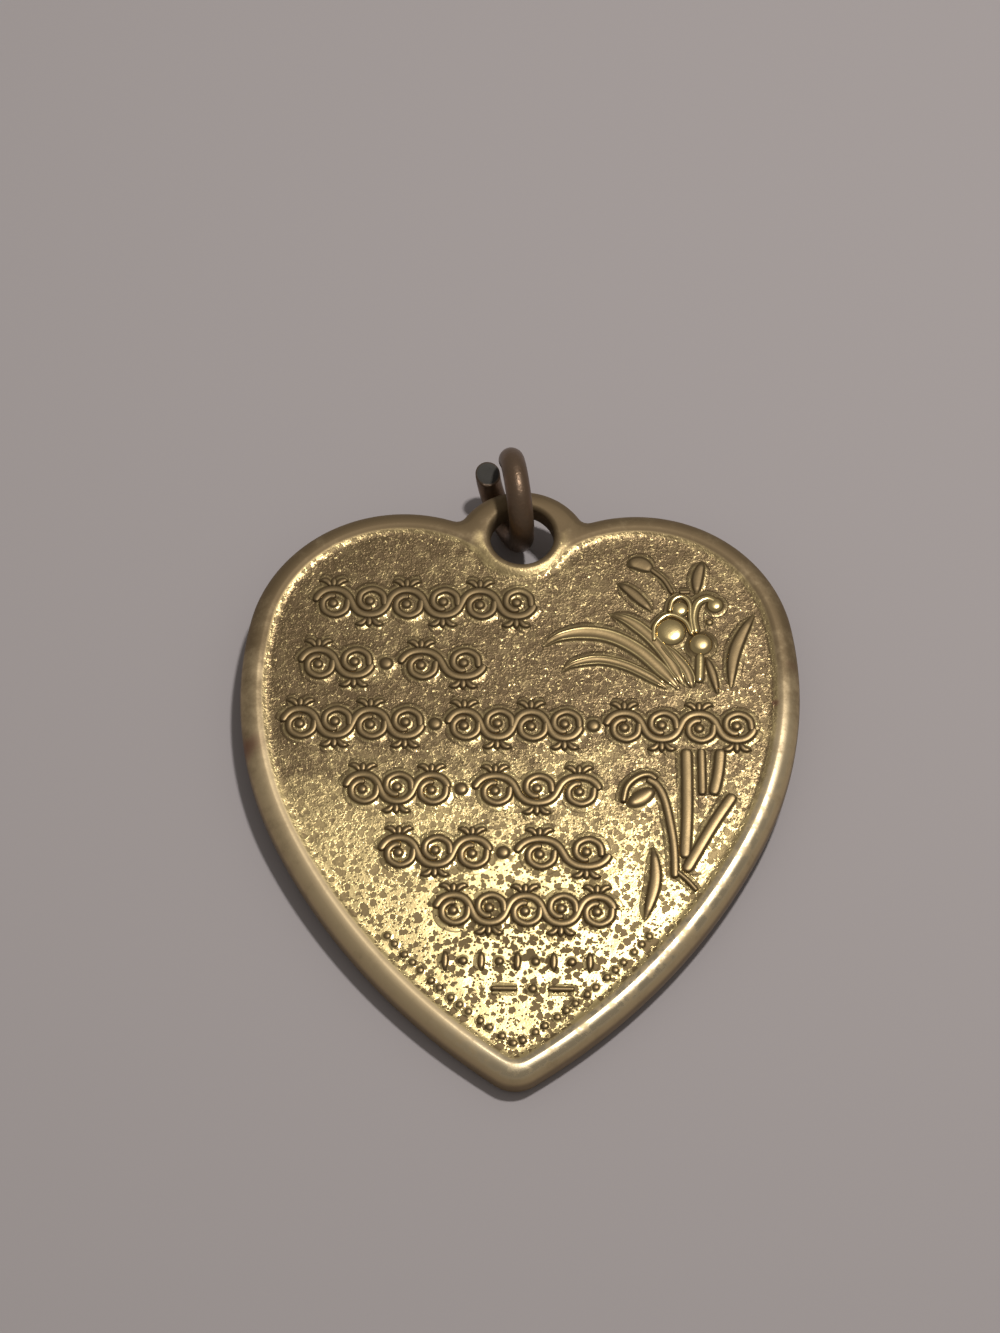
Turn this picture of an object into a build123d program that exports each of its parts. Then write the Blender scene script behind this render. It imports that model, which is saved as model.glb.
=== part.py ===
from build123d import *
from math import acos, atan2, cos, degrees, hypot, radians, sin, sqrt
import os

# A heart-shaped devotional charm struck from one blank of brass, and the open wire ring
# that hangs in its pierced lug. Millimetres. The charm lies face up: +X is its right,
# +Y points at the lug, +Z out of the face. The origin is the middle of the flat back.

# Heart outline
heart_width = 29.2
heart_height = 32.7
widest_rise = 5.9
side_radius = 20.1
side_turn = 26.5
lobe_radius = 8.2
tip_radius = 1.7

# Lug in the cleft, and its hole
lug_radius = 3.7
lug_drop = 2.25
cleft_radius = 0.5
hole_radius = 1.7
hole_drop = 1.5
hole_edge_round = 0.3
lug_step = 0.25
lug_step_radius = 3.1
lug_step_rise = 0.5

# Thickness, raised rim and sunk field
charm_thickness = 1.65
face_edge_round = 0.75
back_edge_round = 0.45
rim_width = 1.15
field_depth = 0.16
field_tip_radius = 0.9
collar_width = 0.7
shoulder_angle = 116.5
cusp_overlap = 0.15

# Raised ornament on the field
relief_height = 0.15
stroke_width = 0.42
bead_radius = 0.27
leaf_length = 1.1
leaf_width = 0.5
wave_length = 3.9
wave_swing = 0.76
leaf_gap = 0.12
small_bead_radius = 0.2
small_bead_pitch = 0.95
dash_length = 1.3
dash_gap = 0.5

# Ring: round wire, one end bent aside
ring_outer_diameter = 5.64
ring_wire = 1.33
ring_centre_beyond_hole = 2.35
ring_centre_height = 1.3
ring_yaw = 9.0
ring_bent_yaw = 26.0
ring_near_end = 25.0
ring_bent_end = -6.0

# Places on the face, in shares of the heart's width and height from the origin.
# Rows of running scroll: left end, right end, height.
scroll_row_shares = [
    (-0.372, 0.025, 0.326),
    (-0.394, -0.063, 0.215),
    (-0.430, 0.425, 0.108),
    (-0.306, 0.143, -0.006),
    (-0.241, 0.161, -0.115),
    (-0.150, 0.169, -0.212),
]
bead_row_share = (-0.115, 0.120, -0.301)
dash_row_share = (0.020, -0.346)

# Lily spray. A blade is its foot, the middle of its back and its point, and its width
# as a share of the heart's width; a bead is its place and radius.
blade_shares = [
    ((0.035, 0.250), (0.171, 0.268), (0.287, 0.176), 0.020),
    ((0.071, 0.204), (0.189, 0.215), (0.276, 0.171), 0.018),
    ((0.156, 0.310), (0.233, 0.270), (0.284, 0.206), 0.018),
    ((0.171, 0.371), (0.210, 0.345), (0.238, 0.314), 0.014),
    ((0.331, 0.412), (0.318, 0.385), (0.314, 0.354), 0.018),
    ((0.423, 0.317), (0.388, 0.251), (0.371, 0.175), 0.022),
    ((0.336, 0.225), (0.350, 0.198), (0.356, 0.166), 0.020),
    ((0.296, 0.076), (0.296, -0.018), (0.293, -0.111), 0.026),
    ((0.323, 0.076), (0.325, 0.030), (0.322, -0.016), 0.018),
    ((0.355, 0.074), (0.354, 0.034), (0.345, -0.007), 0.022),
    ((0.375, -0.013), (0.340, -0.077), (0.293, -0.134), 0.022),
    ((0.236, -0.020), (0.262, -0.080), (0.270, -0.151), 0.018),
    ((0.238, -0.101), (0.240, -0.165), (0.221, -0.223), 0.016),
    ((0.245, 0.385), (0.264, 0.368), (0.274, 0.344), 0.010),
]
lily_bead_shares = [
    (0.323, 0.255, 0.020),
    (0.266, 0.284, 0.026),
    (0.283, 0.320, 0.020),
    (0.342, 0.325, 0.019),
    (0.228, 0.400, 0.020),
    (0.210, -0.004, 0.024),
]

half_width = heart_width / 2
lobe_top = heart_height / 2
field_level = charm_thickness - field_depth
hole_y = lobe_top - hole_drop
lug_y = lobe_top - lug_drop


def on_circle(centre, radius, angle):
    """The point of a circle at an angle in degrees."""
    return (centre[0] + radius * cos(radians(angle)), centre[1] + radius * sin(radians(angle)))


def bearing(start, end):
    """The direction from one point to another, in degrees."""
    return degrees(atan2(end[1] - start[1], end[0] - start[0]))


def arc(centre, radius, start_angle, end_angle):
    """An arc about a centre, between two angles in degrees."""
    middle = (start_angle + end_angle) / 2
    ends = [on_circle(centre, radius, angle) for angle in (start_angle, middle, end_angle)]
    return ThreePointArc(*ends)


# Centres of the right half's arcs, each tangent to the next
side_centre = (half_width - side_radius, widest_rise)
lobe_lift = lobe_top - lobe_radius - widest_rise
lobe_centre = (side_centre[0] + sqrt((side_radius - lobe_radius) ** 2 - lobe_lift**2),
               lobe_top - lobe_radius)
tip_centre = (0, tip_radius - heart_height / 2)
lug_centre = (0, lug_y)


def flank_circle():
    """The circle that runs from the side arc, at side_turn below the widest line, to the tip."""
    inward = (-cos(radians(side_turn)), sin(radians(side_turn)))
    gap = (side_centre[0] - tip_centre[0], side_centre[1] - tip_centre[1])
    reach = side_radius - tip_radius
    along = gap[0] * inward[0] + gap[1] * inward[1]
    extra = (gap[0] ** 2 + gap[1] ** 2 - reach**2) / (2 * (reach - along))
    centre = (side_centre[0] + extra * inward[0], side_centre[1] + extra * inward[1])
    return centre, side_radius + extra


def cleft_circle():
    """The small hollow between lug and lobe, tangent to both."""
    across = hypot(lobe_centre[0], lobe_centre[1] - lug_y)
    to_lug = lug_radius + cleft_radius
    to_lobe = lobe_radius + cleft_radius
    swing = degrees(acos((to_lug**2 + across**2 - to_lobe**2) / (2 * to_lug * across)))
    return on_circle(lug_centre, to_lug, bearing(lug_centre, lobe_centre) + swing)


flank_centre, flank_radius = flank_circle()
cleft_centre = cleft_circle()


def mirrored(edges):
    """The edges, and their mirror images across the charm's middle."""
    return edges + [edge.mirror(Plane.YZ) for edge in edges]


def heart_with_lug():
    """The blank's outline: lug, cleft hollow, lobe, side, flank and tip."""
    lug_end = bearing(lug_centre, cleft_centre)
    cleft_start = lug_end + 180
    cleft_end = bearing(cleft_centre, lobe_centre) + 360
    lobe_start = cleft_end - 180
    lobe_end = bearing(side_centre, lobe_centre)
    flank_end = bearing(flank_centre, tip_centre)
    half = [
        arc(lug_centre, lug_radius, 90, lug_end),
        arc(cleft_centre, cleft_radius, cleft_start, cleft_end),
        arc(lobe_centre, lobe_radius, lobe_start, lobe_end),
        arc(side_centre, side_radius, lobe_end, -side_turn),
        arc(flank_centre, flank_radius, -side_turn, flank_end),
        arc(tip_centre, tip_radius, flank_end, -90),
    ]
    return make_face(Wire(mirrored([Edge(part.wrapped) for part in half])).edges())


def sunk_field():
    """The field's outline: the heart inside its rim, up to the collar round the hole."""
    lobe_inner = lobe_radius - rim_width
    side_inner = side_radius - rim_width
    flank_inner = flank_radius - rim_width
    lobe_end = bearing(side_centre, lobe_centre)
    tip_reach = flank_inner - field_tip_radius
    tip_drop = sqrt(tip_reach**2 - flank_centre[0] ** 2)
    tip_middle = (0, flank_centre[1] - tip_drop)
    flank_end = bearing(flank_centre, tip_middle)
    shoulder = on_circle(lobe_centre, lobe_inner, shoulder_angle)
    cusp = (0, hole_y - hole_radius - collar_width + cusp_overlap)
    half = [
        Edge.make_line(cusp, shoulder),
        arc(lobe_centre, lobe_inner, shoulder_angle, lobe_end),
        arc(side_centre, side_inner, lobe_end, -side_turn),
        arc(flank_centre, flank_inner, -side_turn, flank_end),
        arc(tip_middle, field_tip_radius, flank_end, -90),
    ]
    field = make_face(Wire(mirrored([Edge(part.wrapped) for part in half])).edges())
    collar = Pos(0, hole_y) * Circle(hole_radius + collar_width)
    return field - collar


def raised(face):
    """A flat shape struck up from the field."""
    return extrude(Pos(0, 0, field_level) * face, relief_height)


def leaf(start, back, point, width):
    """A blade with two curved edges through its ends, its back's middle and its width."""
    along = (point[0] - start[0], point[1] - start[1])
    length = hypot(*along)
    side = (-along[1] / length * width / 2, along[0] / length * width / 2)
    upper = ThreePointArc(start, (back[0] + side[0], back[1] + side[1]), point)
    lower = ThreePointArc(point, (back[0] - side[0], back[1] - side[1]), start)
    return make_face([upper, lower])


def bead(place, radius):
    """A round boss."""
    return Pos(place[0], place[1]) * Circle(radius)


def scroll_row(left, right, level):
    """A running wave with a bead in each hollow and a leaf outside each crest."""
    halves = max(2, round((right - left) / (wave_length / 2)))
    step = (right - left) / halves
    shapes = []
    for number in range(halves):
        way = 1 if number % 2 == 0 else -1
        start = left + number * step
        middle = start + step / 2
        crest = (middle, level + way * wave_swing)
        rise = ThreePointArc((start, level), crest, (start + step, level))
        shapes.append(trace(rise, stroke_width))
        shapes.append(bead((middle, level - way * (stroke_width / 2 + leaf_gap)), bead_radius))
        foot = level + way * (wave_swing + stroke_width / 2 + leaf_gap)
        tip = (middle + leaf_length / 2, foot + way * leaf_width)
        back = (middle, foot + way * leaf_width / 2)
        shapes.append(leaf((middle - leaf_length / 2, foot), back, tip, leaf_width))
    return shapes


def bead_row(left, right, level):
    """A row of small beads."""
    count = max(2, round((right - left) / small_bead_pitch))
    step = (right - left) / count
    return [bead((left + number * step, level), small_bead_radius) for number in range(count + 1)]


def dash_row(middle, level):
    """Two short bars with a bead between them."""
    offset = dash_gap + small_bead_radius + dash_length / 2
    bars = [Pos(middle + way * offset, level) * Rectangle(dash_length, small_bead_radius)
            for way in (-1, 1)]
    return bars + [bead((middle, level), small_bead_radius)]


def across(share):
    """A share of the heart's width, as a length."""
    return share * heart_width


def place(share):
    """A place on the face, from its shares of the heart's width and height."""
    return (share[0] * heart_width, share[1] * heart_height)


def ornament():
    """All the raised shapes of the face."""
    shapes = []
    for left, right, level in scroll_row_shares:
        shapes += scroll_row(across(left), across(right), level * heart_height)
    left, right, level = bead_row_share
    shapes += bead_row(across(left), across(right), level * heart_height)
    shapes += dash_row(*place(dash_row_share))
    for foot, back, point, width in blade_shares:
        shapes.append(leaf(place(foot), place(back), place(point), across(width)))
    for x_share, y_share, radius in lily_bead_shares:
        shapes.append(bead(place((x_share, y_share)), across(radius)))
    return [raised(shape) for shape in shapes]


def heart_medal():
    """The struck charm: rounded rim, sunk field with its ornament, and pierced lug."""
    blank = extrude(heart_with_lug(), charm_thickness)
    blank = fillet(blank.faces().sort_by(Axis.Z)[-1].edges(), face_edge_round)
    blank = fillet(blank.faces().sort_by(Axis.Z)[0].edges(), back_edge_round)
    blank -= extrude(Pos(0, 0, field_level) * sunk_field(), charm_thickness)
    blank = blank.fuse(*[shape.solid() for shape in ornament()])
    blank -= Pos(0, hole_y) * Cylinder(hole_radius, 4 * charm_thickness)
    step_place = Pos(0, hole_y + lug_step_rise, 0)
    blank -= step_place * Cylinder(lug_step_radius, 2 * lug_step)
    rims = [edge for edge in blank.edges().filter_by(GeomType.CIRCLE)
            if abs(edge.radius - hole_radius) < hole_edge_round / 10]
    return fillet(rims, hole_edge_round)


def ring_point(yaw, angle):
    """A point of the ring's centre line: yaw turns its half about the wire in the hole."""
    wire_circle = (ring_outer_diameter - ring_wire) / 2
    reach = wire_circle * (1 + cos(radians(angle)))
    south = hole_y + ring_centre_beyond_hole - wire_circle
    return (
        -reach * sin(radians(yaw)),
        south + reach * cos(radians(yaw)),
        ring_centre_height + wire_circle * sin(radians(angle)),
    )


def jump_ring():
    """Round wire bent to a ring: the upper half in one plane, the lower half bent aside."""
    upper_middle = (ring_near_end + 180) / 2
    upper = ThreePointArc(
        ring_point(ring_yaw, ring_near_end),
        ring_point(ring_yaw, upper_middle),
        ring_point(ring_yaw, 180),
    )
    lower_middle = (ring_bent_end - 180) / 2
    lower = ThreePointArc(
        ring_point(ring_bent_yaw, 180),
        ring_point(ring_bent_yaw, lower_middle),
        ring_point(ring_bent_yaw, ring_bent_end),
    )
    path = Wire([Edge(upper.wrapped), Edge(lower.wrapped)])
    section = Plane(path @ 0, z_dir=path % 0) * Circle(ring_wire / 2)
    return sweep(section, path)


os.makedirs("parts", exist_ok=True)
nodes = {"heart_medal": heart_medal(), "jump_ring": jump_ring()}
for name, shape in nodes.items():
    solid = shape.solid()
    solid.label = name
    export_step(solid, f"parts/{name}.step")
    box = solid.bounding_box()
    print(name, "volume", round(solid.volume, 3), "box", box.min, box.max)
wire_circle = (ring_outer_diameter - ring_wire) / 2
print("ring centre line radius", round(wire_circle, 3), "clear inside", ring_outer_diameter - 2 * ring_wire)
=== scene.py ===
from math import acos, atan2, ceil, cos, degrees, hypot, pi, radians, sin, sqrt

import bmesh
import bpy
from mathutils import Matrix, Vector, geometry, kdtree, noise


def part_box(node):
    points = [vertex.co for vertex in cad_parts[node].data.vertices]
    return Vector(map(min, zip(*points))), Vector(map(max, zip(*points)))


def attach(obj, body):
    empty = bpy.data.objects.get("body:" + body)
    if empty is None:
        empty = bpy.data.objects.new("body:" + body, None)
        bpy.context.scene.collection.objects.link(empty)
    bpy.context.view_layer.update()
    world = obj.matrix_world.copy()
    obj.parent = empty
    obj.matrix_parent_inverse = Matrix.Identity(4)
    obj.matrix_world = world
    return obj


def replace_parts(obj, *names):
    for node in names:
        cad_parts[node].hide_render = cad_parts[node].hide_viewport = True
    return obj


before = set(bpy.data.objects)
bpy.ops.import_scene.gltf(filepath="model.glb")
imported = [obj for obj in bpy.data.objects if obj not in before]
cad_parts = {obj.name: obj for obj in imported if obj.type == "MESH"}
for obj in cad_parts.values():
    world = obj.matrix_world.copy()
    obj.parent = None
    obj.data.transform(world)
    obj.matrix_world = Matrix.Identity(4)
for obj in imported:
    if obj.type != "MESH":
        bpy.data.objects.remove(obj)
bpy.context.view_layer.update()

# The blank. The charm is one piece of brass sheet, cut to a heart with a round lug in its
# cleft and struck cold in a die, which rounds its edge and sinks the field inside the rim.
# Places are in millimetres on the charm's back: +Y points at the lug, +Z out of the face.
metre = 0.001
heart_low, heart_high = (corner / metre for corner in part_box("heart_medal"))
half_width = heart_high.x
tip_bottom = heart_low.y
lobe_top = -tip_bottom
thickness = heart_high.z
widest_rise = 5.9
side_radius = 20.1
side_turn = 26.5
lobe_radius = 8.2
tip_radius = 1.7
lug_radius = 3.7
cleft_radius = 0.5
lug_y = heart_high.y - lug_radius
edge_spacing = 0.2
edge_depth = 0.6
edge_reach = 0.9
edge_drop = 0.8
edge_steps = [0.52, 0.44, 0.35, 0.25, 0.16, 0.09, 0.03, 0]
back_round = 0.45
round_steps = 5
field_depth = 0.16
field_level = thickness - field_depth
grid_turn = 20
keep_off_share = 0.6
weld_distance = 0.002


def on_circle(centre, radius, angle):
    """The place on a circle at an angle in degrees."""
    return Vector((centre[0] + radius * cos(radians(angle)), centre[1] + radius * sin(radians(angle))))


def bearing(start, end):
    """The direction from one place to another, in degrees."""
    return degrees(atan2(end[1] - start[1], end[0] - start[0]))


def arc_places(centre, radius, start, end):
    """Evenly spaced places along an arc, without its last one."""
    count = ceil(abs(radians(end - start)) * radius / edge_spacing)
    return [on_circle(centre, radius, start + (end - start) * number / count) for number in range(count)]


def both_halves(right_half):
    """A closed line, from its right half and that half's mirror image."""
    left_half = [Vector((-place.x, place.y)) for place in reversed(right_half[1:-1])]
    return right_half + left_half


def eased(line, rounds):
    """A closed line with its corners rubbed down."""
    for _ in range(rounds):
        line = [(line[number - 1] + 2 * line[number] + line[(number + 1) % len(line)]) / 4
                for number in range(len(line))]
    return line


def with_outward(line):
    """Each place of a closed clockwise line, with its outward direction."""
    stations = []
    for number, place in enumerate(line):
        along = line[(number + 1) % len(line)] - line[number - 1]
        outward = Vector((-along.y, along.x)).normalized()
        stations.append((place, outward))
    return stations


side_centre = (half_width - side_radius, widest_rise)
lobe_lift = lobe_top - lobe_radius - widest_rise
lobe_across = sqrt((side_radius - lobe_radius) ** 2 - lobe_lift**2)
lobe_centre = (side_centre[0] + lobe_across, lobe_top - lobe_radius)
tip_centre = (0, tip_bottom + tip_radius)
lug_centre = (0, lug_y)


def flank_circle():
    """The circle from the side arc, at side_turn below the widest line, to the tip's circle."""
    inward = Vector((-cos(radians(side_turn)), sin(radians(side_turn))))
    gap = Vector((side_centre[0] - tip_centre[0], side_centre[1] - tip_centre[1]))
    reach = side_radius - tip_radius
    extra = (gap.length_squared - reach**2) / (2 * (reach - gap.dot(inward)))
    return Vector(side_centre) + extra * inward, side_radius + extra


def cleft_circle():
    """The small hollow between lug and lobe, tangent to both."""
    across = hypot(lobe_centre[0], lobe_centre[1] - lug_y)
    to_lug = lug_radius + cleft_radius
    to_lobe = lobe_radius + cleft_radius
    swing = degrees(acos((to_lug**2 + across**2 - to_lobe**2) / (2 * to_lug * across)))
    return on_circle(lug_centre, to_lug, bearing(lug_centre, lobe_centre) + swing)


flank_centre, flank_radius = flank_circle()
cleft_centre = cleft_circle()


def blank_outline():
    """The blank's outline, clockwise from the top of the lug."""
    lug_end = bearing(lug_centre, cleft_centre)
    lobe_start = bearing(cleft_centre, lobe_centre) + 180
    lobe_end = bearing(side_centre, lobe_centre)
    flank_end = bearing(flank_centre, tip_centre)
    half = arc_places(lug_centre, lug_radius, 90, lug_end)
    half += arc_places(cleft_centre, cleft_radius, lug_end + 180, lobe_start + 180)
    half += arc_places(lobe_centre, lobe_radius, lobe_start, lobe_end)
    half += arc_places(side_centre, side_radius, lobe_end, -side_turn)
    half += arc_places(flank_centre, flank_radius, -side_turn, flank_end)
    half += arc_places(tip_centre, tip_radius, flank_end, -90)
    half.append(Vector((0, tip_bottom)))
    return with_outward(both_halves(half))


def lay_loop(bm, stations, inward, height):
    """A closed loop of edges at one distance inside a line. Its points keep their way out."""
    way_out = bm.verts.layers.float_vector["way_out"]
    points = []
    for place, outward in stations:
        point = bm.verts.new((*(place - outward * inward), height))
        point[way_out] = (*outward, 0)
        points.append(point)
    return [bm.edges.new((points[number - 1], point)) for number, point in enumerate(points)]


def roll_loop(bm, edges, inward, steps):
    """Extrudes a loop through steps, each a new distance inside its line and a new height."""
    way_out = bm.verts.layers.float_vector["way_out"]
    for next_inward, height in steps:
        grown = bmesh.ops.extrude_edge_only(bm, edges=edges)["geom"]
        fresh = {item for item in grown if isinstance(item, bmesh.types.BMVert)}
        for point in fresh:
            point.co += point[way_out] * (inward - next_inward)
            point.co.z = height
        edges = [item for item in grown if isinstance(item, bmesh.types.BMEdge)
                 and item.verts[0] in fresh and item.verts[1] in fresh]
        inward = next_inward
    return edges


def hangs_loose(point):
    """Whether a grid point on the ragged side has come loose, or hangs on by its corners."""
    sides = [len(edge.link_faces) for edge in point.link_edges]
    ragged = not point.link_faces or any(side != 2 for side in sides)
    return ragged and (0 in sides or sides.count(1) not in (1, 2))


def fill_between(bm, loops, spacing):
    """Fills the flat region inside the first loop and outside the others with a fine grid."""
    way_out = bm.verts.layers.float_vector["way_out"]
    ends = []
    for number, edges in enumerate(loops):
        side = 1 if number == 0 else -1
        ends += [(point, side) for point in dict.fromkeys(point for edge in edges for point in edge.verts)]
    tree = kdtree.KDTree(len(ends))
    for number, (point, side) in enumerate(ends):
        tree.insert((point.co.x, point.co.y, 0), number)
    tree.balance()
    reach = max(point.co.xy.length for point, side in ends) + spacing
    count = ceil(2 * reach / spacing)
    turn = Matrix.Rotation(radians(grid_turn), 4, "Z")
    grid = bmesh.ops.create_grid(bm, x_segments=count, y_segments=count, size=reach, matrix=turn)["verts"]
    outside = []
    for point in grid:
        near, number, _ = tree.find((point.co.x, point.co.y, 0))
        border, side = ends[number]
        depth = (near - Vector((point.co.x, point.co.y, 0))).dot(border[way_out]) * side
        if depth < keep_off_share * spacing:
            outside.append(point)
    kept = grid
    while outside:
        dropped = set(outside)
        kept = [point for point in kept if point not in dropped]
        bmesh.ops.delete(bm, geom=outside, context="VERTS")
        outside = [point for point in kept if hangs_loose(point)]
    ragged = dict.fromkeys(edge for point in kept for edge in point.link_edges if len(edge.link_faces) == 1)
    edges = list(ragged) + [edge for loop in loops for edge in loop]
    bmesh.ops.triangle_fill(bm, edges=edges, use_beauty=True, normal=(0, 0, 1))
    return kept


def finish_piece(bm, name, material, body):
    """Closes a mesh made in millimetres and sets it as a named piece that rides on a body."""
    bmesh.ops.remove_doubles(bm, verts=bm.verts, dist=weld_distance)
    bmesh.ops.recalc_face_normals(bm, faces=bm.faces)
    bmesh.ops.scale(bm, verts=bm.verts, vec=(metre, metre, metre))
    for face in bm.faces:
        face.smooth = True
    mesh = bpy.data.meshes.new(name)
    mesh.materials.append(material)
    bm.to_mesh(mesh)
    bm.free()
    piece = bpy.data.objects.new(name, mesh)
    bpy.context.scene.collection.objects.link(piece)
    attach(piece, body)
    return piece


# The finish of the brass. The field is yellow where it is rubbed and toned olive in patches, and
# painted darker towards the lug as painted shade, with pits left by the sheet's skin, a frosted grain
# and a few red-brown stains. The rim and the crowns keep a dull brown skin, also painted darker
# towards the lug; at the lower right it is worn pale by handling, with a painted highlight there.
bright_brass = (0.83, 0.63, 0.29, 1)
toned_brass = (0.155, 0.105, 0.05, 1)
# Pale brass of the rim's lower right: wear, and a painted highlight where the lamp shines on the rim.
sheen_wear_brass = (0.67, 0.55, 0.36, 1)
rim_brass = (0.5, 0.375, 0.212, 1)
rim_toned = (0.18, 0.124, 0.064, 1)
metal_specular = 0.2
patch_scale = 170
patch_share = 0.5
mottle_scale = 900
mottle_share = 0.9
toning_from = 0.8
toning_to = 1.4


def add_node(tree, kind, inputs, **settings):
    """Adds a node. Its inputs are numbers or colours, or sockets of other nodes to join to."""
    node = tree.nodes.new(kind)
    for name, value in settings.items():
        setattr(node, name, value)
    for socket, value in inputs.items():
        if isinstance(value, bpy.types.NodeSocket):
            tree.links.new(value, node.inputs[socket])
        else:
            node.inputs[socket].default_value = value
    return node


def noise_at(tree, place, scale, detail, roughness=0.5):
    """A noise pattern on the object's own coordinates."""
    inputs = {"Vector": place, "Scale": scale, "Detail": detail, "Roughness": roughness}
    return add_node(tree, "ShaderNodeTexNoise", inputs).outputs["Fac"]


def ramped(tree, value, low, high, to_low=0, to_high=1):
    """A value eased from one range to another, and held at its ends."""
    inputs = {"Value": value, "From Min": low, "From Max": high, "To Min": to_low, "To Max": to_high}
    return add_node(tree, "ShaderNodeMapRange", inputs, interpolation_type="SMOOTHSTEP").outputs["Result"]


def blended(tree, share, first, second):
    """One colour laid over another by a mask."""
    return add_node(tree, "ShaderNodeMix", {0: share, 6: first, 7: second}, data_type="RGBA").outputs[2]


def mixed(tree, share, first, second):
    """One value laid over another by a mask."""
    return add_node(tree, "ShaderNodeMix", {0: share, 2: first, 3: second}, data_type="FLOAT").outputs[0]


def reckoned(tree, operation, first, second=0, third=0):
    """One sum on values."""
    return add_node(tree, "ShaderNodeMath", {0: first, 1: second, 2: third}, operation=operation).outputs[0]


def multiplied(tree, product, *values):
    """A value times others."""
    for value in values:
        product = reckoned(tree, "MULTIPLY", product, value)
    return product


def away_from(tree, place, spot):
    """How far a place is from a spot, which is given in millimetres."""
    inputs = {0: place, 1: [value * metre for value in spot]}
    return add_node(tree, "ShaderNodeVectorMath", inputs, operation="DISTANCE").outputs["Value"]


def climbed(tree, place, low_y, high_y, low, high):
    """A value that eases from one to another as a place goes up the face, towards the lug."""
    height = add_node(tree, "ShaderNodeSeparateXYZ", {"Vector": place}).outputs["Y"]
    return ramped(tree, height, low_y * metre, high_y * metre, low, high)


def new_group(name, inputs, outputs):
    """An empty group with named sockets. Gives its tree, and its own input and output nodes."""
    tree = bpy.data.node_groups.new(name, "ShaderNodeTree")
    for side, sockets in (("INPUT", inputs), ("OUTPUT", outputs)):
        for label, kind in sockets.items():
            tree.interface.new_socket(label, in_out=side, socket_type=f"NodeSocket{kind}")
    return tree, tree.nodes.new("NodeGroupInput"), tree.nodes.new("NodeGroupOutput")


def give_out(tree, result, values):
    """Joins a group's values to its own output sockets."""
    for label, value in values.items():
        tree.links.new(value, result.inputs[label])


def toning_group():
    """Broad patches and small mottles of toning between a bright and a toned colour."""
    sockets = {"Bright": "Color", "Toned": "Color", "Amount": "Float"}
    tree, given, result = new_group("metal_toning", sockets, {"Color": "Color", "Toning": "Float"})
    place = add_node(tree, "ShaderNodeTexCoord", {}).outputs["Object"]
    patches = noise_at(tree, place, patch_scale, detail=4)
    mottles = noise_at(tree, place, mottle_scale, detail=6, roughness=0.68)
    mottles = multiplied(tree, mottles, mottle_share)
    both = reckoned(tree, "MULTIPLY_ADD", patches, patch_share, mottles)
    toning = ramped(tree, reckoned(tree, "ADD", both, given.outputs["Amount"]), toning_from, toning_to)
    colour = blended(tree, toning, given.outputs["Bright"], given.outputs["Toned"])
    give_out(tree, result, {"Color": colour, "Toning": toning})
    return tree


metal_toning = toning_group()

# Brown of the pits; the same brown is the painted shade on the relief's steep sides.
pit_and_shade_brown = (0.095, 0.058, 0.025, 1)
pit_scale = 2300
speck_scale = 5200
pit_sizes = [(pit_scale, 0.42), (speck_scale, 0.31)]
sparse = 0.3
dense = 0.7
pit_crowding = 0.1
pit_raggedness = 0.7
pit_edge = 0.07
pit_sink = 0.4
speck_from = 0.615
speck_edge = 0.06
grain_scale = 8500
grain_depth = 0.03


def pitting_group():
    """Pits of two sizes in clusters, rubbed specks, and frosted grain.

    It gives a height for bump, and the masks of the pits and specks.
    """
    outputs = {"Height": "Float", "Pit": "Float", "Speck": "Float"}
    tree, given, result = new_group("pitted_skin", {"Pits": "Float", "Grain": "Float"}, outputs)
    place = add_node(tree, "ShaderNodeTexCoord", {}).outputs["Object"]
    clusters = noise_at(tree, place, mottle_scale, detail=2)
    crowding = ramped(tree, clusters, sparse, dense, -pit_crowding, pit_crowding)
    fine = noise_at(tree, place, speck_scale, detail=3, roughness=0.6)
    ragged = reckoned(tree, "MULTIPLY_ADD", fine, pit_raggedness, -pit_raggedness / 2)
    pits = []
    for scale, reach in pit_sizes:
        cells = add_node(tree, "ShaderNodeTexVoronoi", {"Vector": place, "Scale": scale})
        away = reckoned(tree, "ADD", cells.outputs["Distance"], ragged)
        away = reckoned(tree, "ADD", away, crowding)
        pits.append(ramped(tree, away, reach - pit_edge, reach + pit_edge, 1, 0))
    pit = multiplied(tree, reckoned(tree, "MAXIMUM", *pits), given.outputs["Pits"])
    grain = noise_at(tree, place, grain_scale, detail=2, roughness=0.6)
    frost = multiplied(tree, grain, given.outputs["Grain"])
    height = reckoned(tree, "MULTIPLY_ADD", pit, -pit_sink, frost)
    speck = ramped(tree, fine, speck_from, speck_from + speck_edge)
    give_out(tree, result, {"Height": height, "Pit": pit, "Speck": speck})
    return tree


pitted_skin = pitting_group()

# Toning and painted shade: the field is painted darker towards the lug, where the lamp's reflection fades.
low_tone_and_shade_y = -13
high_tone_and_shade_y = 5.5
low_tone_and_shade = -0.06
high_tone_and_shade = 0.64
lightly_toned = 0.1
half_toned = 0.45
fully_toned = 0.95
toned_metal = 0.65
toned_dulling = 0.04
pit_top = 0.045
high_pits = 0.6
pit_cover = 0.92
pit_metal = 0.6
pit_dulling = 0.25
low_grain = 0.09
high_grain = 0.45
skin_grain = 0.08
gleam_from = 0.014
gleam_on_toned = 0.3
satin_middle = (0.3, -7.2, 1.5)
satin_inner = 1.5
satin_outer = 6.2
satin_rough = 0.37
field_rough = 0.25


def surveyed(tree):
    """Where a point is, how high it is over the field, and whether it is on the outer skin."""
    place = add_node(tree, "ShaderNodeTexCoord", {}).outputs["Object"]
    height = add_node(tree, "ShaderNodeSeparateXYZ", {"Vector": place}).outputs["Z"]
    above = reckoned(tree, "SUBTRACT", height, field_level * metre)
    outer = add_node(tree, "ShaderNodeAttribute", {}, attribute_name="outer_skin").outputs["Fac"]
    return place, above, outer


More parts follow.
